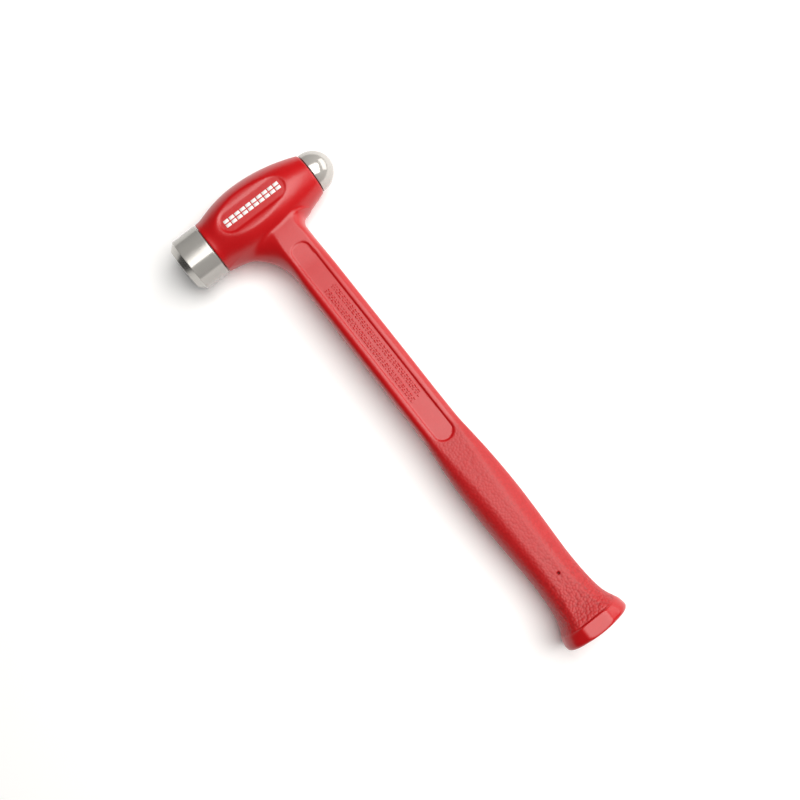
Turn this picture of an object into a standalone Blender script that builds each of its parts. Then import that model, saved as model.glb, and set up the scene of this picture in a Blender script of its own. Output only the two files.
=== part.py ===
"""Ball peen hammer with a moulded urethane jacket over a shot-filled steel head.

The head lies along X, with the ball peen at +X and the striking face at -X.  The handle runs
along -Y.  Both axes are at the same height, so the hammer lies level on the pad under its head
and on the flat under its butt, which both touch z = 0.  All sizes below are in metres.
"""
import math

import bmesh
import bpy
from mathutils import Matrix, Vector

MM = 0.001

# Driving dimensions
AXIS_Z = 19.7 * MM            # height of the head and handle axes over the flats
FIT_GAP = 0.3 * MM            # clearance between neighbouring pieces
HEAD_SIDES = 64               # facets round the head, the steel ends and the canister
HANDLE_SIDES = 40             # facets round the handle

# Head barrel of the jacket: a belly of two large arcs and a short collar behind the face
BARREL_FACE_X = -42.6 * MM
BARREL_PEEN_X = 35.6 * MM
BELLY_X = -10.0 * MM
BELLY_RADIUS = 23.1 * MM
BOW_FACE = 81.0 * MM          # arc radius from the belly towards the face
BOW_PEEN = 116.0 * MM         # arc radius from the belly towards the peen
COLLAR_RADIUS = 17.9 * MM
COLLAR_BLEND = 0.8 * MM
BARREL_STEPS = 22
LIP_ROUND = 0.5 * MM

# Steel striking face
FACE_X = -64.8 * MM
FACE_RADIUS = 18.1 * MM
FACE_CHAMFER = 4.4 * MM        # length along the head
FACE_CHAMFER_DROP = 4.0 * MM
FACE_BACK_X = -43.2 * MM

# Steel ball peen
PEEN_TIP_X = 51.7 * MM
PEEN_RADIUS = 13.7 * MM
PEEN_BACK_X = 36.2 * MM
PEEN_LAND = 0.8 * MM          # short straight stretch before the dome
DOME_STEPS = 12
PEEN_NECK_RADIUS = 10.0 * MM
PEEN_FLANGE = 4.0 * MM

# Canister inside the head, closed by a spigot on each steel end
TUBE_FACE_X = -38.0 * MM
TUBE_PEEN_X = 18.0 * MM
TUBE_RADIUS = 14.3 * MM
TUBE_BORE = 11.5 * MM
FACE_SPIGOT = 6.2 * MM
PEEN_SPIGOT = 4.7 * MM

# Shot: pellets in rows along the canister, two below, three in the middle and two above
PELLET_RADIUS = 3.0 * MM
PELLET_PITCH = 6.3 * MM
PELLET_ROWS = 5
PELLET_SIDE = 3.2 * MM
PELLET_LOW = -7.5 * MM
PELLET_MID = -2.0 * MM
PELLET_HIGH = 3.5 * MM

# Core rod, its boss on the canister, its split pin and its washer
ROD_RADIUS = 6.0 * MM
ROD_TOP_Y = -19.5 * MM
ROD_END_Y = -320.0 * MM
ROD_CHAMFER = 1.0 * MM
GROOVE_DEPTH = 1.0 * MM
GROOVE_WIDTH = 4.0 * MM
GROOVE_YS = (-210.0 * MM, -245.0 * MM, -280.0 * MM)
BOSS_RADIUS = 8.5 * MM
BOSS_END_Y = -34.0 * MM
PIN_Y = -27.0 * MM
PIN_RADIUS = 1.5 * MM
PIN_WALL = 0.5 * MM
PIN_SLOT = math.radians(40.0)
PIN_LENGTH = 16.4 * MM
WASHER_Y = -312.0 * MM        # the washer's upper side
WASHER_RADIUS = 10.0 * MM
WASHER_THICK = 3.0 * MM

# Handle of the jacket, in mm: (y, half width, half thickness, half width of the flat on each side,
# drop of the rounded corner below the flat)
HANDLE_STATIONS = (
    (-52.0, 12.8, 11.2, 8.3, 5.6),
    (-120.0, 12.8, 11.2, 8.3, 5.6),
    (-180.0, 12.8, 11.2, 8.3, 5.6),
    (-194.0, 13.8, 11.7, 7.2, 6.6),
    (-208.0, 14.9, 12.3, 5.6, 8.4),
    (-222.0, 15.6, 12.9, 4.4, 10.4),
    (-238.0, 15.9, 13.2, 3.6, 12.0),
    (-254.0, 15.6, 12.9, 3.2, 12.2),
    (-270.0, 15.0, 12.5, 3.2, 12.0),
    (-284.0, 14.5, 12.2, 3.4, 11.8),
    (-296.0, 14.6, 12.5, 3.9, 12.0),
    (-306.0, 15.2, 13.3, 5.0, 12.6),
    (-314.0, 16.3, 14.6, 6.6, 13.6),
    (-318.5, 17.7, 15.8, 7.6, 14.4),
    (-321.0, 18.9, 16.6, 8.0, 15.0),
    (-323.2, 20.0, 17.4, 8.2, 15.6),
    (-324.2, 20.6, 21.2, 0.8, 18.0),
    (-327.0, 21.5, 21.5, 0.0, 21.5),
    (-331.4, 21.9, 21.5, 0.0, 21.5),
    (-333.0, 20.6, 20.6, 0.0, 20.6),
)

# Web where the handle grows into the barrel: a quarter ellipse on the face side, an arc on the other
WEB_TOP_Y = -15.0 * MM
WEB_START_Y = -52.0 * MM
WEB_FACE_WIDTH = 30.0 * MM
WEB_FACE_HEIGHT = 34.0 * MM
WEB_PEEN_RADIUS = 9.0 * MM
WEB_PEEN_Y = -27.0 * MM
WEB_STEPS = 11
WEB_EDGE_GROWTH = 8.0 * MM     # how much softer the web's edge is where it meets the barrel
WEB_DROP_GROWTH = 6.4 * MM
HEAD_THICKENING = 2.0 * MM     # growth of the half thickness towards the barrel

# Shallow panel on both sides of the shank
PANEL_TOP_Y = -34.8 * MM
PANEL_END_Y = -189.2 * MM
PANEL_HALF_WIDTH = 6.4 * MM
PANEL_DEPTH = 0.7 * MM
SHANK_HALF_THICK = 11.2 * MM


def material(name, colour, roughness, metallic):
    """A Principled material with one colour."""
    result = bpy.data.materials.new(name)
    result.use_nodes = True
    shader = result.node_tree.nodes["Principled BSDF"]
    shader.inputs["Base Color"].default_value = (*colour, 1.0)
    shader.inputs["Roughness"].default_value = roughness
    shader.inputs["Metallic"].default_value = metallic
    return result


def add_object(name, shape, finish=None):
    """Put a bmesh into the scene as an object, with its faces pointing out."""
    bmesh.ops.remove_doubles(shape, verts=shape.verts, dist=1e-7)
    bmesh.ops.recalc_face_normals(shape, faces=shape.faces)
    mesh = bpy.data.meshes.new(name)
    shape.to_mesh(mesh)
    shape.free()
    mesh.shade_smooth()
    mesh.set_sharp_from_angle(angle=math.radians(30.0))
    result = bpy.data.objects.new(name, mesh)
    bpy.context.collection.objects.link(result)
    if finish:
        mesh.materials.append(finish)
    return result


def turned(name, profile, sides, finish=None, closed=False):
    """Turn a profile of (distance along X, radius) round the head axis."""
    shape = bmesh.new()
    corners = [shape.verts.new((x, 0.0, radius)) for x, radius in profile]
    edges = [shape.edges.new(pair) for pair in zip(corners, corners[1:])]
    if closed:
        edges.append(shape.edges.new((corners[-1], corners[0])))
    bmesh.ops.spin(shape, geom=corners + edges, cent=(0, 0, 0), axis=(1, 0, 0), dvec=(0, 0, 0),
                   angle=2 * math.pi, steps=sides, use_merge=True, use_duplicate=False)
    result = add_object(name, shape, finish)
    result.location.z = AXIS_Z
    return result


def down_the_handle(piece):
    """Turn a piece made along X so that its +X side points along +Y."""
    piece.rotation_euler.z = math.pi / 2
    return piece


def as_cutter(piece):
    """Keep a piece as a cutter only."""
    piece.hide_render = True
    piece.display_type = "WIRE"
    return piece


def combine(target, tool, operation):
    """Add a Boolean to an object."""
    step = target.modifiers.new(operation.title() + "_" + tool.name, "BOOLEAN")
    step.operation = operation
    step.solver = "EXACT"
    step.object = as_cutter(tool)


def barrel_radius(x):
    """Radius of the jacket over the head: two arcs, melting into the collar behind the face."""
    bow = BOW_PEEN if x > BELLY_X else BOW_FACE
    belly = BELLY_RADIUS - (x - BELLY_X) ** 2 / (2 * bow)
    spread = math.hypot(belly - COLLAR_RADIUS, COLLAR_BLEND) if x < BELLY_X else belly - COLLAR_RADIUS
    return (belly + COLLAR_RADIUS + spread) / 2 if x < BELLY_X else belly


def barrel():
    """The barrel's solid body, with a small round on each lip."""
    span = BARREL_PEEN_X - BARREL_FACE_X - 2 * LIP_ROUND
    xs = [BARREL_FACE_X + LIP_ROUND + span * i / BARREL_STEPS for i in range(BARREL_STEPS + 1)]
    profile = [(BARREL_FACE_X, 0.0), (BARREL_FACE_X, barrel_radius(xs[0]) - LIP_ROUND)]
    profile += [(x, barrel_radius(x)) for x in xs]
    profile += [(BARREL_PEEN_X, barrel_radius(xs[-1]) - LIP_ROUND), (BARREL_PEEN_X, 0.0)]
    return turned("barrel", profile, HEAD_SIDES)


def section(y, left, right, half_thick, edge_left, edge_right, drop):
    """Corners of one section across the handle: two flats, rounded corners of one drop, and straight sides."""
    quarter = HANDLE_SIDES // 4
    corners = []
    for i in range(HANDLE_SIDES):
        turn = 2 * math.pi * (i + 0.5) / HANDLE_SIDES
        x = right - edge_right * (1 - math.cos(turn))
        if quarter <= i < 3 * quarter:
            x = left + edge_left * (1 + math.cos(turn))
        height = half_thick - drop * (1 - abs(math.sin(turn)))
        corners.append(Vector((x, y, AXIS_Z + math.copysign(height, math.sin(turn)))))
    return corners


def web_sections():
    """Sections that widen from the shank into the barrel."""
    half_width, half_thick, half_flat, drop = (value * MM for value in HANDLE_STATIONS[0][1:])
    edge = half_width - half_flat
    sections = []
    for i in range(WEB_STEPS):
        share = math.sin(math.pi / 2 * (1 - i / WEB_STEPS))
        y = WEB_START_Y + (WEB_TOP_Y - WEB_START_Y) * share
        rise = min((y - WEB_START_Y) / WEB_FACE_HEIGHT, 1.0)
        reach = WEB_FACE_WIDTH * (1 - math.sqrt(1 - rise ** 2))
        curl = min(max((y - WEB_PEEN_Y) / WEB_PEEN_RADIUS, 0.0), 1.0)
        peen_reach = WEB_PEEN_RADIUS * (1 - math.sqrt(1 - curl ** 2))
        sections.append(section(y, -half_width - reach, half_width + peen_reach,
                                half_thick + HEAD_THICKENING * rise, edge + WEB_EDGE_GROWTH * rise, edge,
                                drop + WEB_DROP_GROWTH * rise))
    return sections


def handle():
    """The handle's solid body, from inside the barrel to the butt."""
    sections = web_sections()
    for station in HANDLE_STATIONS:
        y, half_width, half_thick, half_flat, drop = (value * MM for value in station)
        edge = half_width - half_flat
        sections.append(section(y, -half_width, half_width, half_thick, edge, edge, drop))
    shape = bmesh.new()
    rings = [[shape.verts.new(corner) for corner in ring] for ring in sections]
    for upper, lower in zip(rings, rings[1:]):
        for i in range(HANDLE_SIDES):
            j = (i + 1) % HANDLE_SIDES
            shape.faces.new((upper[i], upper[j], lower[j], lower[i]))
    shape.faces.new(rings[0])
    shape.faces.new(rings[-1])
    bmesh.ops.triangulate(shape, faces=shape.faces)
    return add_object("handle", shape)


def block(name, low, high):
    """A box between two corners."""
    shape = bmesh.new()
    size = Vector(high) - Vector(low)
    middle = (Vector(high) + Vector(low)) / 2
    bmesh.ops.create_cube(shape, size=1.0, matrix=Matrix.Translation(middle) @ Matrix.Diagonal((*size, 1.0)))
    return add_object(name, shape)


def panel_cutter(name, low_z, high_z):
    """A slot-shaped block with round ends, as long as the panel."""
    shape = bmesh.new()
    outline = []
    half_turn = 12
    for centre_y, start in ((PANEL_TOP_Y - PANEL_HALF_WIDTH, 0.0), (PANEL_END_Y + PANEL_HALF_WIDTH, math.pi)):
        for i in range(half_turn + 1):
            turn = start + math.pi * i / half_turn
            outline.append((PANEL_HALF_WIDTH * math.cos(turn), centre_y + PANEL_HALF_WIDTH * math.sin(turn)))
    base = shape.faces.new([shape.verts.new((x, y, low_z)) for x, y in outline])
    grown = bmesh.ops.extrude_face_region(shape, geom=[base])
    tops = [part for part in grown["geom"] if isinstance(part, bmesh.types.BMVert)]
    bmesh.ops.translate(shape, verts=tops, vec=(0, 0, high_z - low_z))
    return add_object(name, shape)


def rod_profile(clearance):
    """Outline of the core rod and its grooves, grown by a clearance."""
    radius = ROD_RADIUS + clearance
    start = ROD_TOP_Y + clearance
    end = ROD_END_Y - clearance
    profile = [(end, 0.0), (end, radius - ROD_CHAMFER), (end + ROD_CHAMFER, radius)]
    for y in sorted(GROOVE_YS):
        half = GROOVE_WIDTH / 2 - clearance
        slope = GROOVE_DEPTH
        profile += [(y - half, radius), (y - half + slope, radius - GROOVE_DEPTH),
                    (y + half - slope, radius - GROOVE_DEPTH), (y + half, radius)]
    profile += [(start - ROD_CHAMFER, radius), (start, radius - ROD_CHAMFER), (start, 0.0)]
    return profile


def jacket(finish):
    """The moulded jacket: barrel and handle in one, with its flats, panels and inner cavities."""
    result = barrel()
    result.name = "urethane_jacket"
    result.data.name = "urethane_jacket"
    result.data.materials.append(finish)
    combine(result, handle(), "UNION")
    far = 0.5
    combine(result, block("flat_below", (-far, -far, -far), (far, far, 0.0)), "DIFFERENCE")
    combine(result, block("flat_above", (-far, -far, 2 * AXIS_Z), (far, far, far)), "DIFFERENCE")
    floor_z = SHANK_HALF_THICK - PANEL_DEPTH
    above = SHANK_HALF_THICK + 2 * MM
    combine(result, panel_cutter("panel_top", AXIS_Z + floor_z, AXIS_Z + above), "DIFFERENCE")
    combine(result, panel_cutter("panel_under", AXIS_Z - above, AXIS_Z - floor_z), "DIFFERENCE")

    boss_pocket = [(BOSS_END_Y - FIT_GAP, 0.0), (BOSS_END_Y - FIT_GAP, BOSS_RADIUS + FIT_GAP),
                   (-5 * MM, BOSS_RADIUS + FIT_GAP), (-5 * MM, 0.0)]
    combine(result, down_the_handle(turned("boss_pocket", boss_pocket, HANDLE_SIDES)), "DIFFERENCE")
    combine(result, down_the_handle(turned("rod_bore", rod_profile(FIT_GAP), 24)), "DIFFERENCE")
    washer_low = WASHER_Y - WASHER_THICK - FIT_GAP
    washer_pocket = [(washer_low, 0.0), (washer_low, WASHER_RADIUS + FIT_GAP),
                     (WASHER_Y + FIT_GAP, WASHER_RADIUS + FIT_GAP), (WASHER_Y + FIT_GAP, 0.0)]
    combine(result, down_the_handle(turned("washer_pocket", washer_pocket, HANDLE_SIDES)), "DIFFERENCE")
    head_bore = [(BARREL_FACE_X - MM, 0.0), (BARREL_FACE_X - MM, TUBE_RADIUS + FIT_GAP),
                 (TUBE_PEEN_X + FIT_GAP + PEEN_FLANGE + FIT_GAP, TUBE_RADIUS + FIT_GAP),
                 (TUBE_PEEN_X + FIT_GAP + PEEN_FLANGE + FIT_GAP, PEEN_NECK_RADIUS + FIT_GAP),
                 (BARREL_PEEN_X + MM, PEEN_NECK_RADIUS + FIT_GAP), (BARREL_PEEN_X + MM, 0.0)]
    combine(result, turned("head_bore", head_bore, HEAD_SIDES), "DIFFERENCE")
    return result


def striking_face(finish):
    """Turned steel face: a chamfered disc, the neck behind it and the spigot in the canister."""
    spigot_end = TUBE_FACE_X + FACE_SPIGOT
    profile = [(FACE_X, 0.0), (FACE_X, FACE_RADIUS - FACE_CHAMFER_DROP), (FACE_X + FACE_CHAMFER, FACE_RADIUS),
               (FACE_BACK_X, FACE_RADIUS), (FACE_BACK_X, TUBE_RADIUS), (TUBE_FACE_X - FIT_GAP, TUBE_RADIUS),
               (TUBE_FACE_X - FIT_GAP, TUBE_BORE - FIT_GAP), (spigot_end, TUBE_BORE - FIT_GAP),
               (spigot_end, 0.0)]
    return turned("striking_face", profile, HEAD_SIDES, finish)


def ball_peen(finish):
    """Turned steel peen: a dome, its neck, and the flange and spigot that close the canister."""
    dome_start = PEEN_BACK_X + PEEN_LAND
    height = PEEN_TIP_X - dome_start
    profile = [(PEEN_TIP_X, 0.0)]
    for i in range(1, DOME_STEPS + 1):
        turn = math.pi / 2 * i / DOME_STEPS
        profile.append((dome_start + height * math.cos(turn), PEEN_RADIUS * math.sin(turn)))
    flange_x = TUBE_PEEN_X + FIT_GAP
    profile += [(PEEN_BACK_X, PEEN_RADIUS), (PEEN_BACK_X, PEEN_NECK_RADIUS),
                (flange_x + PEEN_FLANGE, PEEN_NECK_RADIUS), (flange_x + PEEN_FLANGE, TUBE_RADIUS),
                (flange_x, TUBE_RADIUS), (flange_x, TUBE_BORE - FIT_GAP),
                (TUBE_PEEN_X - PEEN_SPIGOT, TUBE_BORE - FIT_GAP), (TUBE_PEEN_X - PEEN_SPIGOT, 0.0)]
    return turned("ball_peen", profile, HEAD_SIDES, finish)


def canister_tube(finish):
    """Plain steel tube between the two ends."""
    profile = [(TUBE_FACE_X, TUBE_BORE), (TUBE_FACE_X, TUBE_RADIUS),
               (TUBE_PEEN_X, TUBE_RADIUS), (TUBE_PEEN_X, TUBE_BORE)]
    return turned("canister_tube", profile, HEAD_SIDES, finish, closed=True)


def pin_hole(name, radius):
    """Cutter for the cross hole, which runs along Z."""
    reach = BOSS_RADIUS + MM
    hole = turned(name, [(-reach, 0.0), (-reach, radius), (reach, radius), (reach, 0.0)], 24)
    hole.location.y = PIN_Y
    hole.rotation_euler.y = math.pi / 2
    return hole


def handle_boss(finish):
    """Socket for the rod, saddled onto the canister and cross-drilled for the pin."""
    profile = [(BOSS_END_Y, ROD_RADIUS + FIT_GAP), (BOSS_END_Y, BOSS_RADIUS),
               (-5 * MM, BOSS_RADIUS), (-5 * MM, ROD_RADIUS + FIT_GAP)]
    result = down_the_handle(turned("handle_boss", profile, HANDLE_SIDES, finish, closed=True))
    seat = [(TUBE_FACE_X, 0.0), (TUBE_FACE_X, TUBE_RADIUS + FIT_GAP),
            (TUBE_PEEN_X, TUBE_RADIUS + FIT_GAP), (TUBE_PEEN_X, 0.0)]
    combine(result, turned("boss_saddle", seat, HEAD_SIDES), "DIFFERENCE")
    combine(result, pin_hole("boss_pin_hole", PIN_RADIUS + FIT_GAP), "DIFFERENCE")
    return result


def handle_core_rod(finish):
    """Steel rod down the handle, grooved to key the moulding and drilled for the pin."""
    result = down_the_handle(turned("handle_core_rod", rod_profile(0.0), 24, finish))
    combine(result, pin_hole("rod_pin_hole", PIN_RADIUS + FIT_GAP), "DIFFERENCE")
    return result


def rod_roll_pin(finish):
    """Split spring pin: a rolled strip with a slot along its side."""
    steps = 20
    start = PIN_SLOT / 2
    sweep = 2 * math.pi - PIN_SLOT
    outline = []
    for radius, order in ((PIN_RADIUS, range(steps + 1)), (PIN_RADIUS - PIN_WALL, range(steps, -1, -1))):
        for i in order:
            turn = start + sweep * i / steps
            outline.append((radius * math.cos(turn), PIN_Y + radius * math.sin(turn)))
    shape = bmesh.new()
    base = shape.faces.new([shape.verts.new((x, y, AXIS_Z - PIN_LENGTH / 2)) for x, y in outline])
    grown = bmesh.ops.extrude_face_region(shape, geom=[base])
    tops = [part for part in grown["geom"] if isinstance(part, bmesh.types.BMVert)]
    bmesh.ops.translate(shape, verts=tops, vec=(0, 0, PIN_LENGTH))
    return add_object("rod_roll_pin", shape, finish)


def rod_anchor_washer(finish):
    """Washer near the rod's end that anchors the jacket."""
    profile = [(WASHER_Y - WASHER_THICK, ROD_RADIUS + FIT_GAP), (WASHER_Y - WASHER_THICK, WASHER_RADIUS),
               (WASHER_Y, WASHER_RADIUS), (WASHER_Y, ROD_RADIUS + FIT_GAP)]
    return down_the_handle(turned("rod_anchor_washer", profile, HANDLE_SIDES, finish, closed=True))


def shot(finish):
    """The loose charge, as rows of pellets carried by one empty on the head axis."""
    chamber_start = TUBE_FACE_X + FACE_SPIGOT
    chamber_end = TUBE_PEEN_X - PEEN_SPIGOT
    carrier = bpy.data.objects.new("shot_carrier", None)
    carrier.location = ((chamber_start + chamber_end) / 2, 0.0, AXIS_Z)
    bpy.context.collection.objects.link(carrier)
    shape = bmesh.new()
    bmesh.ops.create_icosphere(shape, subdivisions=2, radius=PELLET_RADIUS)
    first = add_object("shot_pellet_01", shape, finish)
    places = [(-PELLET_SIDE, PELLET_LOW), (PELLET_SIDE, PELLET_LOW), (-PELLET_PITCH, PELLET_MID),
              (0.0, PELLET_MID), (PELLET_PITCH, PELLET_MID), (-PELLET_SIDE, PELLET_HIGH),
              (PELLET_SIDE, PELLET_HIGH)]
    number = 0
    for row in range(PELLET_ROWS):
        x = (row - (PELLET_ROWS - 1) / 2) * PELLET_PITCH
        for y, z in places:
            number += 1
            pellet = first
            if number > 1:
                pellet = bpy.data.objects.new(f"shot_pellet_{number:02d}", first.data)
                bpy.context.collection.objects.link(pellet)
            pellet.parent = carrier
            pellet.location = (x, y, z)


def main():
    for old in list(bpy.data.objects):
        bpy.data.objects.remove(old, do_unlink=True)
    turned_steel = material("turned_steel", (0.62, 0.61, 0.58), 0.28, 1.0)
    peen_steel = material("peen_steel", (0.70, 0.68, 0.66), 0.22, 1.0)
    plain_steel = material("plain_steel", (0.42, 0.42, 0.43), 0.45, 1.0)
    jacket(material("red_urethane", (0.60, 0.03, 0.035), 0.45, 0.0))
    striking_face(turned_steel)
    ball_peen(peen_steel)
    canister_tube(plain_steel)
    handle_boss(material("boss_steel", (0.36, 0.36, 0.37), 0.5, 1.0))
    handle_core_rod(material("rod_steel", (0.48, 0.48, 0.49), 0.4, 1.0))
    rod_roll_pin(material("spring_steel", (0.18, 0.18, 0.19), 0.4, 1.0))
    rod_anchor_washer(material("washer_steel", (0.52, 0.52, 0.50), 0.45, 1.0))
    shot(material("steel_shot", (0.34, 0.34, 0.35), 0.4, 1.0))


main()
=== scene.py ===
"""Looks of the ball peen hammer: a satin red urethane jacket with a pebbled grip, and turned steel ends."""
import math

import bmesh
import bpy
import numpy as np
from mathutils import Matrix, Vector


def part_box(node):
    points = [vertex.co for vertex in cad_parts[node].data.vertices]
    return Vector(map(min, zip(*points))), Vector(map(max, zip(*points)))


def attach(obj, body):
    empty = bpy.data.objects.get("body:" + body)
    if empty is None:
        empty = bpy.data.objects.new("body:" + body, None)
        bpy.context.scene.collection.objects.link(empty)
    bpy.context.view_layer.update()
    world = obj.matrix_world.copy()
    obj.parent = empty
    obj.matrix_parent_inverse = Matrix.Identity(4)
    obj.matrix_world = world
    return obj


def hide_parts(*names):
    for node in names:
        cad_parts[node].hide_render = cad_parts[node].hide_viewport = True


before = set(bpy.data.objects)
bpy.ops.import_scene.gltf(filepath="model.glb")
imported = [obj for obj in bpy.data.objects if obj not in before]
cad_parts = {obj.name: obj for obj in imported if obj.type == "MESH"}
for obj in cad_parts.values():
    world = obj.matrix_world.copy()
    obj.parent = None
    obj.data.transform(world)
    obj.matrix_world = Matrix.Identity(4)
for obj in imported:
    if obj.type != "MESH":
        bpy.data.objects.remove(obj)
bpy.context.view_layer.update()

MM = 0.001
HEAD = "hammer"

# Places read from the frame, in millimetres.  The head and handle axes share one height.
jacket_low, jacket_high = (np.array(corner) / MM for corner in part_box("urethane_jacket"))
face_low, face_high = (np.array(corner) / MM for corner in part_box("striking_face"))
peen_low, peen_high = (np.array(corner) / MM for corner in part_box("ball_peen"))
AXIS_Z = (jacket_low[2] + jacket_high[2]) / 2
FLAT = (jacket_high[2] - jacket_low[2]) / 2
BARREL_FACE_X = jacket_low[0]
BARREL_PEEN_X = jacket_high[0]
BELLY_RADIUS = jacket_high[1]
BUTT_Y = jacket_low[1]

# Head barrel, in mm
BELLY_X = -10.0
BOW_FACE = 81.0
BOW_PEEN = 116.0
COLLAR_RADIUS = 17.9
COLLAR_BLEND = 0.8
END_ROUND = 0.9
BARREL_STEEPNESS = 0.97         # makes the barrel's field read as a true distance

# Handle stations, in mm: (y, half width, half thickness, half width of the flat on each side,
# drop of the rounded corner below the flat)
HANDLE_STATIONS = np.array((
    (-60.0, 12.8, 11.2, 8.3, 5.6),
    (-120.0, 12.8, 11.2, 8.3, 5.6),
    (-180.0, 12.8, 11.2, 8.3, 5.6),
    (-194.0, 13.8, 11.7, 7.2, 6.6),
    (-208.0, 14.9, 12.3, 5.6, 8.4),
    (-222.0, 15.6, 12.9, 4.4, 10.4),
    (-238.0, 15.9, 13.2, 3.6, 12.0),
    (-254.0, 15.6, 12.9, 3.2, 12.2),
    (-270.0, 15.0, 12.5, 3.2, 12.0),
    (-284.0, 14.5, 12.2, 3.4, 11.8),
    (-296.0, 14.6, 12.5, 3.9, 12.0),
    (-306.0, 15.2, 13.3, 5.0, 12.6),
    (-314.0, 16.3, 14.6, 6.6, 13.6),
    (-318.5, 17.7, 15.8, 7.6, 14.4),
    (-321.0, 18.9, 16.6, 8.0, 15.0),
    (-323.5, 20.1, 17.4, 8.2, 15.6),
    (-326.5, 21.3, 18.0, 8.4, 16.0),
    (-330.0, 21.9, 18.4, 8.4, 16.4),
    (-336.0, 21.9, 18.4, 8.4, 16.4),
))

# Butt: a round collar that stands proud of the flare, and a slightly domed end, in mm
RIM_RADIUS = 21.5
RIM_START_Y = -323.3
BUTT_DOME_RADIUS = 280.0
BUTT_ROUND = 2.8

# Web between handle and barrel, in mm
WEB_TOP_Y = -18.0
WEB_START_Y = -52.0
WEB_FACE_X = -42.7
WEB_BLEND = 1.6
PLATEAU_GROWTH = -1.6
PLATEAU_START_Y = -34.0
HEAD_THICKENING = 2.0
WEB_EDGE_SHARPNESS = 0.6
WEB_DROP_GROWTH = 6.4
PEEN_DROP_GROWTH = 7.4
WEB_PEEN_RADIUS = 9.0
WEB_PEEN_Y = -27.5
HANDLE_INNER_END = -6.0

# Flats and recesses, in mm
PAD_X = -6.5
PAD_HALF_LENGTH = 23.6
PAD_HALF_WIDTH = 7.2
PAD_DEPTH = 0.5
PAD_WALL_SLOPE = 0.35
PAD_ROUND = 0.9
PANEL_TOP_Y = -34.8
PANEL_END_Y = -189.2
PANEL_HALF_WIDTH = 6.4
PANEL_DEPTH = 0.55
PANEL_WALL_SLOPE = 0.7
PANEL_ROUND = 0.45
VENT_PLACE = (1.3, -291.5)
VENT_RADIUS = 0.8
VENT_DEPTH = 1.3

MARK_LENGTH = 42.6
MARK_BLOCKS = 10
MARK_BLOCK_HIGH = 2.15
MARK_GAP = 0.75
MARK_RISE = 0.05                # how far a block stands above the pad's floor
MARK_ROOT = 0.25
MARK_BEVEL = 0.03

RELIEF_TOP_Y = -69.0
RELIEF_END_Y = -156.5
RELIEF_ROOT = 0.4               # how far a dash reaches below the panel's floor
RELIEF_HEIGHT = 0.2
RELIEF_BEVEL = 0.14
RELIEF_WIDTH = 0.85
RELIEF_BANDS = (-2.75, 2.55)
RELIEF_ROW_PITCH = 1.3

# Steel ends, in mm
FACE_CHAMFER = 4.4
FACE_CHAMFER_DROP = 4.0
FACE_BACK_X = -43.2
FACE_NECK_END = -38.3
NECK_RADIUS = 14.3
SPIGOT_RADIUS = 11.2
PEEN_RADIUS = 13.7
PEEN_BACK_X = 36.2
PEEN_LAND = 0.8
DOME_STEPS = 32
PEEN_NECK_RADIUS = 10.0
FLANGE_X = 22.3
FLANGE_THICK = 4.0
EDGE_ROUND = 0.3
SUPPORT = 0.12                  # gap from an arc to the point that keeps the run beside it flat
STEEL_METALLIC = 0.36
GROUND_STEEL_METALLIC = 0.9

# Camera: place in mm about the head axis, and turns in degrees about X, Y and Z
CAMERA_PLACE = (-36.4, -230.3, 613.8)
CAMERA_TURN = (7.381, -2.581, -37.857)

# Studio
LIGHT_DISTANCE = 1.4            # metres
LIGHT_AIM = (-8.0, -145.0)      # mm, the middle of the hammer
LIGHT_COLOUR = (1.0, 0.985, 0.96)
SURROUND_STRENGTH = 0.03
FLOOR_GLOW = 0.06
# (name, tilt from straight above, turn from +X, span along Y, span along X, radiance)
SOFTBOXES = (
    ("key_light", 19.5, -14.0, 52.0, 48.0, 5.4),
    ("side_light", 71.0, 0.0, 50.0, 24.0, 3.1),
)

# Pebbled zone of the grip, in mm: it is fainter above PEBBLING_RISE_Y and full near the butt
GRAIN_START_Y = -181.0
GRAIN_END_Y = -322.6
PEBBLING_ABOVE = 0.5
PEBBLING_RISE_Y = -270.0
PEBBLING_FULL_Y = -314.6
PEBBLE_SIZE = 1.7
PEBBLE_HEIGHT = 0.05

# Spacing of the jacket's mesh, in mm.  It is finest round the vent and coarsest along the plain shank.
GRID = 0.72
GRAIN_GRID = 0.64
VENT_MARGIN = 1.2
SHANK_TOP_Y = -62.0


def smooth_min(a, b, width):
    """Lesser of two fields, with their meeting line rounded over a width."""
    overlap = np.maximum(width - np.abs(a - b), 0.0) / width
    return np.minimum(a, b) - overlap * overlap * width / 4


def smooth_max(a, b, width):
    """Greater of two fields, rounded over a width."""
    return -smooth_min(-a, -b, width)


def ease(value, start, end):
    """0 at start, 1 at end, with a soft ramp between."""
    share = np.clip((value - start) / (end - start), 0.0, 1.0)
    return share * share * (3 - 2 * share)


def through_stations(y, column):
    """Smooth curve through one column of the handle's stations."""
    knots = -HANDLE_STATIONS[:, 0]
    values = HANDLE_STATIONS[:, column]
    slopes = np.zeros_like(values)
    slopes[1:-1] = (values[2:] - values[:-2]) / (knots[2:] - knots[:-2])
    place = np.clip(-y, knots[0], knots[-1])
    i = np.clip(np.searchsorted(knots, place, side="right") - 1, 0, len(knots) - 2)
    gap = knots[i + 1] - knots[i]
    s = (place - knots[i]) / gap
    return ((2 * s**3 - 3 * s**2 + 1) * values[i] + (s**3 - 2 * s**2 + s) * gap * slopes[i]
            + (3 * s**2 - 2 * s**3) * values[i + 1] + (s**3 - s**2) * gap * slopes[i + 1])


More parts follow.
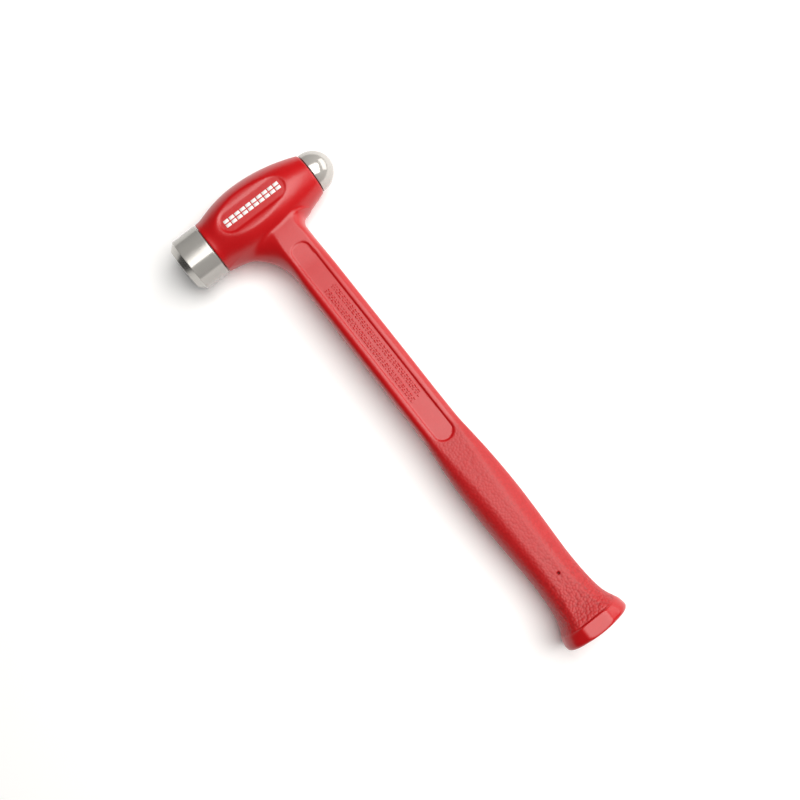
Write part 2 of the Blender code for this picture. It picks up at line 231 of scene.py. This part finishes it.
def barrel_radius(x):
    """Radius of the jacket over the head: two arcs, melting into the collar behind the face."""
    bow = np.where(x > BELLY_X, BOW_PEEN, BOW_FACE)
    belly = BELLY_RADIUS - (x - BELLY_X) ** 2 / (2 * bow)
    melted = (belly + COLLAR_RADIUS + np.hypot(belly - COLLAR_RADIUS, COLLAR_BLEND)) / 2
    return np.where(x < BELLY_X, melted, belly)


def handle_sides(y):
    """Left and right outline of the handle, with its webs into the barrel."""
    half_width = through_stations(y, 1)
    rise = np.clip((y - WEB_START_Y) / (WEB_TOP_Y - WEB_START_Y), 0.0, 1.0)
    reach = (-WEB_FACE_X - half_width) * (1 - np.sqrt(1 - rise * rise))
    curl = np.clip((y - WEB_PEEN_Y) / WEB_PEEN_RADIUS, 0.0, 1.0)
    peen_reach = WEB_PEEN_RADIUS * (1 - np.sqrt(1 - curl * curl))
    return -half_width - reach, half_width + peen_reach


def handle_thickness(y):
    """Half thickness of the handle, swelling a little as it nears the barrel."""
    return through_stations(y, 2) + HEAD_THICKENING * ease(y, WEB_START_Y, WEB_TOP_Y)


def handle_shape(x, y, z):
    """Handle section: two flats joined by curved edges, which sharpen along the web.  Negative inside."""
    left, right = handle_sides(y)
    flat = through_stations(y, 3) + PLATEAU_GROWTH * ease(y, PLATEAU_START_Y, WEB_TOP_Y)
    beyond_left = (-flat - x) / (-flat - left)
    beyond_right = (x - flat) / (right - flat)
    beyond = np.maximum(np.maximum(beyond_left, beyond_right), 1e-6)
    on_web = beyond_left > beyond_right
    rise = ease(y, WEB_START_Y - 8, WEB_PEEN_Y)
    power = 2 - WEB_EDGE_SHARPNESS * rise * on_web
    drop = through_stations(y, 4) + rise * np.where(on_web, WEB_DROP_GROWTH, PEEN_DROP_GROWTH)
    below = np.maximum(np.abs(z) - handle_thickness(y) + drop, 1e-6 * drop) / drop
    return (beyond ** power + below ** power) ** (1 / power) - 1


def as_distance(shape, x, y, z):
    """A field scaled by its slope, so that it reads as millimetres near its surface."""
    step = 0.05
    value = shape(x, y, z)
    slope_x = (shape(x + step, y, z) - value) / step
    slope_y = (shape(x, y + step, z) - value) / step
    slope_z = (shape(x, y, z + step) - value) / step
    return value / np.maximum(np.sqrt(slope_x**2 + slope_y**2 + slope_z**2), 0.03)


def slot_outline(x, y, half_length, half_width):
    """Distance to a slot outline whose long side runs along x."""
    straight = half_length - half_width
    return np.hypot(x - np.clip(x, -straight, straight), y) - half_width


def panel_outline(x, y):
    """Distance to the outline of the shank's recessed panel."""
    middle = (PANEL_TOP_Y + PANEL_END_Y) / 2
    return slot_outline(y - middle, x, (PANEL_TOP_Y - PANEL_END_Y) / 2, PANEL_HALF_WIDTH)


def jacket_field(x, y, z):
    """The whole jacket's outer surface, in mm about the head axis.  Negative inside."""
    barrel = (np.hypot(y, z) - barrel_radius(x)) * BARREL_STEEPNESS
    handle = smooth_max(as_distance(handle_shape, x, y, z), y - HANDLE_INNER_END, 2.0)
    body = smooth_min(barrel, handle, WEB_BLEND)
    body = smooth_max(body, x - BARREL_PEEN_X, END_ROUND)
    body = smooth_max(body, BARREL_FACE_X - x, END_ROUND)
    rim = smooth_max(np.hypot(x, z) - RIM_RADIUS, y - RIM_START_Y, 1.4)
    rim = smooth_max(rim, np.abs(x) - through_stations(y, 1), 1.0)
    body = smooth_min(body, rim, 0.6)
    body = smooth_max(body, BUTT_Y + x * x / (2 * BUTT_DOME_RADIUS) - y, BUTT_ROUND)
    up = np.abs(z)
    body = smooth_max(body, up - FLAT, 0.6)
    pad = slot_outline(x - PAD_X, y, PAD_HALF_LENGTH, PAD_HALF_WIDTH)
    body = smooth_max(body, -np.maximum(pad * PAD_WALL_SLOPE, FLAT - PAD_DEPTH - up), PAD_ROUND)
    floor = handle_thickness(y) - PANEL_DEPTH
    body = smooth_max(body, -np.maximum(panel_outline(x, y) * PANEL_WALL_SLOPE, floor - up), PANEL_ROUND)
    return body


def grid_lines(spans):
    """Coordinates with their own spacing in each span: (start, end, spacing)."""
    lines = [np.arange(start, end, spacing) for start, end, spacing in spans]
    return np.concatenate(lines).astype(np.float64)


def surface_net(field, xs, ys, zs):
    """Quad mesh of a field's zero surface: one vertex for each cell that the surface crosses."""
    x, y, z = np.meshgrid(xs, ys, zs, indexing="ij")
    values = field(x, y, z)
    inside = values < 0
    shape = tuple(n - 1 for n in inside.shape)
    corners = [(i, j, k) for i in (0, 1) for j in (0, 1) for k in (0, 1)]

    def corner(array, c):
        return array[c[0]:c[0] + shape[0], c[1]:c[1] + shape[1], c[2]:c[2] + shape[2]]

    filled = sum(corner(inside, c).astype(np.int8) for c in corners)
    cells = np.argwhere((filled > 0) & (filled < 8))
    index = np.full(shape, -1, dtype=np.int64)
    index[tuple(cells.T)] = np.arange(len(cells))
    total = np.zeros((len(cells), 3))
    count = np.zeros(len(cells))
    lines = (xs, ys, zs)
    for a in corners:
        for axis in range(3):
            if a[axis] == 1:
                continue
            b = tuple(1 if n == axis else a[n] for n in range(3))
            at_a = cells + a
            at_b = cells + b
            value_a = values[tuple(at_a.T)]
            value_b = values[tuple(at_b.T)]
            crossed = (value_a < 0) != (value_b < 0)
            share = np.where(crossed, value_a / np.where(crossed, value_a - value_b, 1.0), 0.0)
            for n in range(3):
                start = lines[n][at_a[:, n]]
                end = lines[n][at_b[:, n]]
                total[:, n] += np.where(crossed, start + share * (end - start), 0.0)
            count += crossed
    points = total / count[:, None]
    quads = []
    for axis in range(3):
        first, second = (axis + 1) % 3, (axis + 2) % 3
        here = np.moveaxis(inside, axis, 0)
        change = np.moveaxis(here[:-1] != here[1:], 0, axis)
        edges = np.argwhere(change)
        keep = (edges[:, first] > 0) & (edges[:, second] > 0)
        keep &= (edges[:, first] < shape[first]) & (edges[:, second] < shape[second])
        edges = edges[keep]
        ring = []
        for da, db in ((-1, -1), (0, -1), (0, 0), (-1, 0)):
            cell = edges.copy()
            cell[:, first] += da
            cell[:, second] += db
            ring.append(index[tuple(cell.T)])
        ring = np.stack(ring, 1)
        outward = inside[tuple(edges.T)]
        ring[~outward] = ring[~outward][:, ::-1]
        quads.append(ring)
    return points, np.concatenate(quads)


def slope_at(field, points, step=0.02):
    """Field value, unit normal and steepness at scattered points."""
    x, y, z = points.T
    slope = np.stack([field(x + step, y, z) - field(x - step, y, z),
                      field(x, y + step, z) - field(x, y - step, z),
                      field(x, y, z + step) - field(x, y, z - step)], 1) / (2 * step)
    size = np.maximum(np.linalg.norm(slope, axis=1), 1e-6)
    return field(x, y, z), slope / size[:, None], size


def pulled_onto(field, points, rounds=3):
    """Move points onto the zero surface along its slope."""
    for _ in range(rounds):
        value, normal, size = slope_at(field, points)
        points = points - normal * np.clip(value / size, -0.4, 0.4)[:, None]
    return points


def cell_hash(cells, salt):
    """Repeatable value from 0 to 1 for whole-number cells."""
    mixed = cells[:, 0] * 73856093 ^ cells[:, 1] * 19349663 ^ cells[:, 2] * 83492791 ^ salt * 2654435761
    mixed = (mixed ^ (mixed >> 13)) * 1274126177
    return ((mixed ^ (mixed >> 16)) & 0xFFFF) / 65535.0


def pebbles(points, size):
    """Rounded bumps packed edge to edge: 1 on a crown, 0 in the valley between two."""
    place = points / size
    base = np.floor(place).astype(np.int64)
    nearest = np.full(len(points), 9.0)
    second = np.full(len(points), 9.0)
    for offset in np.ndindex(3, 3, 3):
        cell = base + np.array(offset) - 1
        jitter = np.stack([cell_hash(cell, salt) for salt in (1, 2, 3)], 1)
        gap = np.linalg.norm(cell + 0.15 + 0.7 * jitter - place, axis=1)
        second = np.minimum(second, np.maximum(nearest, gap))
        nearest = np.minimum(nearest, gap)
    return np.clip((second - nearest) * 1.6, 0.0, 1.0) ** 0.6


def grain_amount(points):
    """How strongly the grip's pebbling shows at each point, from 0 to 1."""
    x, y, z = points.T
    start = ease(y, GRAIN_START_Y + 6, GRAIN_START_Y - 8)
    end = ease(y, GRAIN_END_Y - 1.2, GRAIN_END_Y + 0.6)
    return start * end * ease(panel_outline(x, y), 0.4, 1.6)


def new_object(name, points, faces):
    """Object from points in millimetres about the head axis."""
    mesh = bpy.data.meshes.new(name)
    placed = (np.asarray(points) + (0.0, 0.0, AXIS_Z)) * MM
    faces = np.asarray(faces)
    mesh.vertices.add(len(placed))
    mesh.vertices.foreach_set("co", placed.astype(np.float32).ravel())
    mesh.loops.add(faces.size)
    mesh.loops.foreach_set("vertex_index", faces.astype(np.int32).ravel())
    mesh.polygons.add(len(faces))
    mesh.polygons.foreach_set("loop_start", np.arange(0, faces.size, faces.shape[1], dtype=np.int32))
    mesh.update(calc_edges=True)
    mesh.validate()
    mesh.shade_smooth()
    result = bpy.data.objects.new(name, mesh)
    bpy.context.collection.objects.link(result)
    return result


def add_attribute(piece, name, values):
    """One number for each vertex, for the materials to read."""
    attribute = piece.data.attributes.new(name, "FLOAT", "POINT")
    attribute.data.foreach_set("value", np.asarray(values, dtype=np.float32))


def jacket():
    """The moulded jacket as one fine mesh."""
    vent_x, vent_y = VENT_PLACE
    xs = grid_lines(((-44.4, vent_x - VENT_MARGIN, GRID), (vent_x - VENT_MARGIN, vent_x + VENT_MARGIN, 0.4),
                     (vent_x + VENT_MARGIN, 38.0, GRID)))
    ys = grid_lines(((BUTT_Y - 1.5, vent_y - VENT_MARGIN, GRAIN_GRID),
                     (vent_y - VENT_MARGIN, vent_y + VENT_MARGIN, 0.3),
                     (vent_y + VENT_MARGIN, GRAIN_START_Y, GRAIN_GRID),
                     (GRAIN_START_Y, SHANK_TOP_Y, 1.2), (SHANK_TOP_Y, 25.0, 0.75)))
    zs = grid_lines(((-20.88, 21.3, GRID),))
    points, quads = surface_net(jacket_field, xs, ys, zs)
    points = pulled_onto(jacket_field, points)
    normals = slope_at(jacket_field, points)[1]
    grain = grain_amount(points)
    bumps = pebbles(points, PEBBLE_SIZE)
    gap = np.hypot(points[:, 0] - vent_x, points[:, 1] - vent_y)
    # Painted shade: the vent weight sinks the pit and also darkens the base colour there.
    vent = np.where(points[:, 2] > 0, np.exp(-(gap / VENT_RADIUS) ** 4), 0.0)
    growth = ease(points[:, 1], PEBBLING_RISE_Y, PEBBLING_FULL_Y)
    pebbling = grain * (PEBBLING_ABOVE + (1 - PEBBLING_ABOVE) * growth)
    points = points + normals * (pebbling * (bumps - 0.6) * PEBBLE_HEIGHT - vent * VENT_DEPTH)[:, None]
    piece = new_object("jacket_surface", points, quads)
    # The vent and pebbling weights also set the painted shade in the material's base colour.
    add_attribute(piece, "grain", grain)
    add_attribute(piece, "vent", vent)
    add_attribute(piece, "pebbling", pebbling)
    return piece


def rounded(corners, radii, steps=5):
    """Outline of straight runs with an arc at each corner, and a support point beside each arc."""
    outline = [corners[0]]
    for before, corner, after, radius in zip(corners, corners[1:], corners[2:], radii):
        corner = Vector(corner)
        back = (Vector(before) - corner).normalized()
        ahead = (Vector(after) - corner).normalized()
        half = back.angle(ahead) / 2
        reach = radius / math.tan(half)
        middle = corner + (back + ahead).normalized() * radius / math.sin(half)
        start = corner + back * reach - middle
        end = corner + ahead * reach - middle
        outline.append(tuple(corner + back * (reach + SUPPORT)))
        for i in range(steps + 1):
            outline.append(tuple(middle + start.slerp(end, i / steps, Vector((1, 0))) * radius))
        outline.append(tuple(corner + ahead * (reach + SUPPORT)))
    return outline + [corners[-1]]


def turned(name, outline, sides=192):
    """Solid of revolution about the head axis from (x, radius) points in mm."""
    shape = bmesh.new()
    corners = [shape.verts.new((x * MM, 0.0, radius * MM)) for x, radius in outline]
    edges = [shape.edges.new(pair) for pair in zip(corners, corners[1:])]
    bmesh.ops.spin(shape, geom=corners + edges, cent=(0, 0, 0), axis=(1, 0, 0), dvec=(0, 0, 0),
                   angle=2 * math.pi, steps=sides, use_merge=True, use_duplicate=False)
    return finished(name, shape, (0.0, 0.0, AXIS_Z * MM))


def finished(name, shape, offset=(0.0, 0.0, 0.0)):
    """Close a bmesh into a smooth-shaded object whose mesh is already in place."""
    bmesh.ops.remove_doubles(shape, verts=shape.verts, dist=1e-7)
    bmesh.ops.recalc_face_normals(shape, faces=shape.faces)
    bmesh.ops.translate(shape, verts=shape.verts, vec=offset)
    mesh = bpy.data.meshes.new(name)
    shape.to_mesh(mesh)
    shape.free()
    mesh.shade_smooth()
    result = bpy.data.objects.new(name, mesh)
    bpy.context.collection.objects.link(result)
    return result


def striking_face():
    """Turned steel face with its chamfer, neck and spigot."""
    x, radius = face_low[0], (face_high[2] - face_low[2]) / 2
    corners = [(x, 0.0), (x, radius - FACE_CHAMFER_DROP), (x + FACE_CHAMFER, radius), (FACE_BACK_X, radius),
               (FACE_BACK_X, NECK_RADIUS), (FACE_NECK_END, NECK_RADIUS), (FACE_NECK_END, SPIGOT_RADIUS),
               (face_high[0], SPIGOT_RADIUS), (face_high[0], 0.0)]
    return turned("face_surface", rounded(corners, (0.45, 0.45, 0.5) + 4 * (EDGE_ROUND,)))


def ball_peen():
    """Turned steel peen: a dome on a short land, its neck, flange and spigot."""
    tip, back = peen_high[0], PEEN_BACK_X
    dome = back + PEEN_LAND
    outline = [(tip, 0.0)]
    for i in range(1, DOME_STEPS + 1):
        turn = math.pi / 2 * i / DOME_STEPS
        outline.append((dome + (tip - dome) * math.cos(turn), PEEN_RADIUS * math.sin(turn)))
    stem = [outline[-1], (back, PEEN_RADIUS), (back, PEEN_NECK_RADIUS), (FLANGE_X, PEEN_NECK_RADIUS),
            (FLANGE_X, NECK_RADIUS), (FLANGE_X - FLANGE_THICK, NECK_RADIUS),
            (FLANGE_X - FLANGE_THICK, SPIGOT_RADIUS), (peen_low[0], SPIGOT_RADIUS), (peen_low[0], 0.0)]
    return turned("peen_surface", outline[:-1] + rounded(stem, 7 * (EDGE_ROUND,)))


def flat_plate(shape, outline, low, high, bevel):
    """Add a plate of the given outline (mm) between two heights, with its upper edge bevelled."""
    inner = [Vector((x, y)) for x, y in outline]
    middle = sum(inner, Vector((0, 0))) / len(inner)
    rings = []
    for height, inset in ((low, 0.0), (high - math.copysign(bevel, high - low), 0.0), (high, bevel)):
        ring = []
        for corner in inner:
            away = corner - middle
            place = corner - away.normalized() * inset
            ring.append(shape.verts.new((place.x * MM, place.y * MM, (height + AXIS_Z) * MM)))
        rings.append(ring)
    for lower, upper in zip(rings, rings[1:]):
        for i in range(len(inner)):
            j = (i + 1) % len(inner)
            shape.faces.new((lower[i], lower[j], upper[j], upper[i]))
    shape.faces.new(rings[0][::-1])
    shape.faces.new(rings[-1])


def dash_outline(x, y, length, width, turn_steps=3):
    """Outline of a dash with round ends, lying along Y and centred on a place."""
    half = max(length / 2 - width / 2, 0.0)
    outline = []
    for side in (0, 1):
        for i in range(turn_steps + 1):
            angle = math.pi * (i / turn_steps - 0.5 + side)
            along = (half if side == 0 else -half) + width / 2 * math.cos(angle)
            outline.append((x - width / 2 * math.sin(angle), y + along))
    return outline


def head_mark():
    """Plain printed mark on both pads: two rows of small blocks."""
    shape = bmesh.new()
    floor = FLAT - PAD_DEPTH
    pitch = MARK_LENGTH / MARK_BLOCKS
    for side in (-1, 1):
        for row in (-1, 1):
            for i in range(MARK_BLOCKS):
                x = PAD_X + (i + 0.5) * pitch - MARK_LENGTH / 2
                y = row * (MARK_BLOCK_HIGH + MARK_GAP) / 2
                half_x, half_y = (pitch - MARK_GAP) / 2, MARK_BLOCK_HIGH / 2
                outline = [(x - half_x, y - half_y), (x + half_x, y - half_y),
                           (x + half_x, y + half_y), (x - half_x, y + half_y)]
                flat_plate(shape, outline, side * (floor - MARK_ROOT), side * (floor + MARK_RISE), MARK_BEVEL)
    return finished("head_mark", shape)


def panel_relief():
    """Raised moulded dashes of mixed length, in two bands down both panels."""
    shape = bmesh.new()
    floor = HANDLE_STATIONS[0, 2] - PANEL_DEPTH
    draws = np.random.default_rng(7)
    for side in (-1, 1):
        for band in RELIEF_BANDS:
            for row in (-1, 0, 1):
                y = RELIEF_TOP_Y - draws.uniform(0.0, 1.2)
                while y > RELIEF_END_Y:
                    length = draws.uniform(0.9, 2.9)
                    x = band + row * RELIEF_ROW_PITCH
                    outline = dash_outline(x, y - length / 2, length, RELIEF_WIDTH)
                    flat_plate(shape, outline, side * (floor - RELIEF_ROOT),
                               side * (floor + RELIEF_HEIGHT), RELIEF_BEVEL)
                    y -= length + draws.uniform(0.5, 1.1)
    return finished("panel_relief", shape)


def principled(name, colour, roughness, metallic=0.0):
    """A material with its Principled shader and its node tree."""
    result = bpy.data.materials.new(name)
    result.use_nodes = True
    tree = result.node_tree
    shader = tree.nodes["Principled BSDF"]
    shader.inputs["Base Color"].default_value = (*colour, 1.0)
    shader.inputs["Roughness"].default_value = roughness
    shader.inputs["Metallic"].default_value = metallic
    return result, tree, shader


def main_camera():
    """Camera nearly straight above, turned so that the handle runs to the lower right."""
    data = bpy.data.cameras.new("camera")
    data.sensor_width = 36.0
    data.lens = 45.0
    data.clip_start = 0.01
    data.clip_end = 20.0
    camera = bpy.data.objects.new("camera", data)
    turn = Matrix.Identity(4)
    for angle, axis in zip(CAMERA_TURN, "XYZ"):
        turn = turn @ Matrix.Rotation(math.radians(angle), 4, axis)
    x, y, height = CAMERA_PLACE
    camera.matrix_world = Matrix.Translation(Vector((x, y, height + AXIS_Z)) * MM) @ turn
    bpy.context.collection.objects.link(camera)
    bpy.context.scene.camera = camera


def maths(tree, operation, first, second=None, clamp=False):
    """A Math node fed by sockets or numbers."""
    node = tree.nodes.new("ShaderNodeMath")
    node.operation = operation
    node.use_clamp = clamp
    for socket, value in zip(node.inputs, (first, second)):
        if value is None:
            continue
        if isinstance(value, (int, float)):
            socket.default_value = value
        else:
            tree.links.new(value, socket)
    return node.outputs[0]


def noise(tree, vector, scale, detail=3.0, roughness=0.55):
    """Noise from a vector, as its factor."""
    node = tree.nodes.new("ShaderNodeTexNoise")
    node.inputs["Scale"].default_value = scale
    node.inputs["Detail"].default_value = detail
    node.inputs["Roughness"].default_value = roughness
    tree.links.new(vector, node.inputs["Vector"])
    return node.outputs["Fac"]


def blend_colours(tree, factor, dark, light):
    """A colour that runs between two colours by a factor."""
    node = tree.nodes.new("ShaderNodeMix")
    node.data_type = "RGBA"
    node.inputs["A"].default_value = (*dark, 1.0)
    node.inputs["B"].default_value = (*light, 1.0)
    tree.links.new(factor, node.inputs["Factor"])
    return node.outputs["Result"]


def bump(tree, height, distance, strength=1.0, normal=None):
    """A bump from a height, on top of an earlier one."""
    node = tree.nodes.new("ShaderNodeBump")
    node.inputs["Strength"].default_value = strength
    node.inputs["Distance"].default_value = distance
    tree.links.new(height, node.inputs["Height"])
    if normal:
        tree.links.new(normal, node.inputs["Normal"])
    return node.outputs["Normal"]


def object_coordinates(tree):
    """Coordinates in metres in the hammer's frame."""
    return tree.nodes.new("ShaderNodeTexCoord").outputs["Object"]


def attribute(tree, name):
    """A number stored on the mesh."""
    node = tree.nodes.new("ShaderNodeAttribute")
    node.attribute_name = name
    return node.outputs["Fac"]


def red_urethane():
    """Satin moulded urethane: faint mottling, fine moulding texture, a parting line and grip pebbles, with
    painted shade darkening the pebbles' valleys and the vent's pit.
    """
    result, tree, shader = principled("red_urethane", (0.50, 0.004, 0.008), 0.3)
    shader.inputs["Specular IOR Level"].default_value = 0.53
    place = object_coordinates(tree)
    grain = attribute(tree, "grain")
    pebbling = attribute(tree, "pebbling")
    vent = attribute(tree, "vent")

    cells = tree.nodes.new("ShaderNodeTexVoronoi")
    cells.feature = "F1"
    cells.inputs["Scale"].default_value = 1000.0 / PEBBLE_SIZE
    cells.inputs["Randomness"].default_value = 0.85
    tree.links.new(place, cells.inputs["Vector"])
    crown = maths(tree, "SUBTRACT", 1.0, maths(tree, "POWER", cells.outputs["Distance"], 1.6), clamp=True)
    # Painted shade: how much the base colour darkens in the valleys between the pebbles' crowns.
    valley = maths(tree, "MULTIPLY", maths(tree, "SUBTRACT", 1.0, crown), pebbling)

    mottle = noise(tree, place, 45.0, 4.0)
    speckle = noise(tree, place, 900.0, 2.0)
    shade = maths(tree, "MULTIPLY", maths(tree, "ADD", mottle, speckle), 0.5)
    colour = blend_colours(tree, shade, (0.42, 0.004, 0.006), (0.58, 0.008, 0.010))
    # Painted shade: the base colour darkens toward near black in the pebbles' valleys and in the vent's pit.
    painted_shade = tree.nodes.new("ShaderNodeMix")
    painted_shade.data_type = "RGBA"
    painted_shade.inputs["B"].default_value = (0.10, 0.001, 0.002, 1.0)
    tree.links.new(maths(tree, "MAXIMUM", maths(tree, "MULTIPLY", valley, 0.42), vent, clamp=True),
                   painted_shade.inputs["Factor"])
    tree.links.new(colour, painted_shade.inputs["A"])
    tree.links.new(painted_shade.outputs["Result"], shader.inputs["Base Color"])

    fine = noise(tree, place, 1400.0, 2.0)
    orange_peel = noise(tree, place, 320.0, 3.0)
    rough = maths(tree, "ADD", maths(tree, "MULTIPLY", mottle, 0.12), 0.26)
    rough = maths(tree, "ADD", rough, maths(tree, "MULTIPLY", grain, 0.15))
    tree.links.new(rough, shader.inputs["Roughness"])

    split = tree.nodes.new("ShaderNodeSeparateXYZ")
    tree.links.new(place, split.inputs[0])
    off_seam = maths(tree, "ABSOLUTE", maths(tree, "SUBTRACT", split.outputs["Z"], AXIS_Z * MM))
    seam = maths(tree, "SUBTRACT", 1.0, maths(tree, "DIVIDE", off_seam, 0.22 * MM), clamp=True)
    normal = bump(tree, fine, 0.012 * MM)
    normal = bump(tree, orange_peel, 0.05 * MM, normal=normal)
    normal = bump(tree, seam, 0.06 * MM, normal=normal)
    normal = bump(tree, maths(tree, "MULTIPLY", crown, pebbling), 0.27 * MM, normal=normal)
    tree.links.new(normal, shader.inputs["Normal"])
    return result


def turned_steel(name, colour, roughness, mark_depth, ground_end_x=None):
    """Lathe-turned steel: fine rings round the head axis, faint handling scratches, uneven polish."""
    result, tree, shader = principled(name, colour, roughness, STEEL_METALLIC)
    place = object_coordinates(tree)
    split = tree.nodes.new("ShaderNodeSeparateXYZ")
    tree.links.new(place, split.inputs[0])
    height = maths(tree, "SUBTRACT", split.outputs["Z"], AXIS_Z * MM)
    squares = maths(tree, "ADD", maths(tree, "MULTIPLY", split.outputs["Y"], split.outputs["Y"]),
                    maths(tree, "MULTIPLY", height, height))
    radius = maths(tree, "SQRT", squares)
    if ground_end_x is not None:
        ground = maths(tree, "LESS_THAN", split.outputs["X"], ground_end_x * MM)
        mirror = maths(tree, "MULTIPLY", ground, GROUND_STEEL_METALLIC - STEEL_METALLIC)
        tree.links.new(maths(tree, "ADD", mirror, STEEL_METALLIC), shader.inputs["Metallic"])
    rings = tree.nodes.new("ShaderNodeCombineXYZ")
    tree.links.new(split.outputs["X"], rings.inputs["X"])
    tree.links.new(radius, rings.inputs["Y"])
    grooves = noise(tree, rings.outputs[0], 2600.0, 3.0)
    polish = noise(tree, place, 130.0, 4.0)
    scratches = noise(tree, place, 900.0, 5.0, 0.7)
    shade = maths(tree, "MULTIPLY", maths(tree, "ADD", polish, grooves), 0.5)
    low = tuple(channel * 0.88 for channel in colour)
    high = tuple(min(channel * 1.08, 1.0) for channel in colour)
    tree.links.new(blend_colours(tree, shade, low, high), shader.inputs["Base Color"])
    spread = maths(tree, "MULTIPLY", maths(tree, "SUBTRACT", polish, 0.5), 0.14)
    tree.links.new(maths(tree, "ADD", spread, roughness), shader.inputs["Roughness"])
    normal = bump(tree, grooves, mark_depth * MM)
    normal = bump(tree, scratches, mark_depth * 0.3 * MM, normal=normal)
    tree.links.new(normal, shader.inputs["Normal"])
    return result


def mill_steel(name, colour, roughness):
    """Plain inner steel with a mottled oxide film."""
    result, tree, shader = principled(name, colour, roughness, 1.0)
    place = object_coordinates(tree)
    film = noise(tree, place, 180.0, 5.0)
    low = tuple(channel * 0.7 for channel in colour)
    tree.links.new(blend_colours(tree, film, low, colour), shader.inputs["Base Color"])
    tree.links.new(maths(tree, "ADD", maths(tree, "MULTIPLY", film, 0.2), roughness - 0.1),
                   shader.inputs["Roughness"])
    tree.links.new(bump(tree, noise(tree, place, 1500.0, 2.0), 0.02 * MM), shader.inputs["Normal"])
    return result


def printed_white():
    """White pad print with slightly uneven cover."""
    result, tree, shader = principled("printed_white", (0.86, 0.85, 0.84), 0.45)
    place = object_coordinates(tree)
    cover = noise(tree, place, 700.0, 3.0)
    tree.links.new(blend_colours(tree, cover, (0.80, 0.76, 0.75), (0.90, 0.89, 0.88)),
                   shader.inputs["Base Color"])
    tree.links.new(maths(tree, "ADD", maths(tree, "MULTIPLY", cover, 0.2), 0.36), shader.inputs["Roughness"])
    tree.links.new(bump(tree, cover, 0.01 * MM), shader.inputs["Normal"])
    return result


def floor_material():
    """Plain white studio sweep."""
    result, _, shader = principled("studio_white", (1.0, 1.0, 1.0), 0.9)
    shader.inputs["Specular IOR Level"].default_value = 0.0
    shader.inputs["Emission Color"].default_value = (1.0, 1.0, 1.0, 1.0)
    shader.inputs["Emission Strength"].default_value = FLOOR_GLOW
    return result


def studio():
    """White floor, a large soft light overhead, a low one on the peen side, and dim surroundings."""
    shape = bmesh.new()
    bmesh.ops.create_grid(shape, x_segments=1, y_segments=1, size=6.0)
    floor = finished("studio_floor", shape)
    floor.data.materials.append(floor_material())

    world = bpy.data.worlds.new("studio_world")
    world.use_nodes = True
    surround = world.node_tree.nodes["Background"]
    surround.inputs["Color"].default_value = (1.0, 1.0, 1.0, 1.0)
    surround.inputs["Strength"].default_value = SURROUND_STRENGTH
    bpy.context.scene.world = world
    for light in SOFTBOXES:
        softbox(*light)
    bpy.context.scene.view_settings.view_transform = "Standard"


def softbox(name, tilt, turn, span_y, span_x, radiance):
    """Rectangular light aimed at the hammer: angles in degrees from straight above and from +X."""
    tilt, turn = math.radians(tilt), math.radians(turn)
    away = Vector((math.sin(tilt) * math.cos(turn), math.sin(tilt) * math.sin(turn), math.cos(tilt)))
    data = bpy.data.lights.new(name, "AREA")
    data.shape = "RECTANGLE"
    data.size = 2 * LIGHT_DISTANCE * math.tan(math.radians(span_y / 2))
    data.size_y = 2 * LIGHT_DISTANCE * math.tan(math.radians(span_x / 2))
    data.energy = radiance * math.pi * data.size * data.size_y
    data.color = LIGHT_COLOUR
    light = bpy.data.objects.new(name, data)
    light.location = Vector((*LIGHT_AIM, AXIS_Z)) * MM + away * LIGHT_DISTANCE
    light.rotation_mode = "QUATERNION"
    light.rotation_quaternion = away.to_track_quat("Z", "Y")
    bpy.context.collection.objects.link(light)


def dress_inner_nodes():
    """Procedural steel on the pieces inside, which keep their CAD shapes."""
    mill = mill_steel("mill_steel", (0.42, 0.42, 0.43), 0.45)
    spring = mill_steel("spring_steel", (0.18, 0.18, 0.19), 0.4)
    shot = mill_steel("shot_steel", (0.34, 0.34, 0.35), 0.4)
    for name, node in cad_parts.items():
        finish = mill
        if name.startswith("shot_pellet"):
            finish = shot
        if name == "rod_roll_pin":
            finish = spring
        for material_slot in node.material_slots:
            material_slot.material = finish


def place_piece(piece, finish, slot, *nodes):
    """Give a piece its finish and its body, and hide the CAD nodes that it stands for."""
    piece.data.materials.append(finish)
    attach(piece, HEAD)
    if nodes:
        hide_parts(*nodes)


main_camera()
studio()
dress_inner_nodes()
urethane = red_urethane()
face_steel = turned_steel("face_steel", (0.47, 0.455, 0.43), 0.17, 0.006, face_low[0] + FACE_CHAMFER - 0.2)
peen_steel = turned_steel("peen_steel", (0.54, 0.515, 0.485), 0.17, 0.003)
place_piece(jacket(), urethane, "red_urethane", "urethane_jacket")
place_piece(panel_relief(), urethane, "red_urethane")
place_piece(striking_face(), face_steel, "turned_steel", "striking_face")
place_piece(ball_peen(), peen_steel, "peen_steel", "ball_peen")
place_piece(head_mark(), printed_white(), "red_urethane")
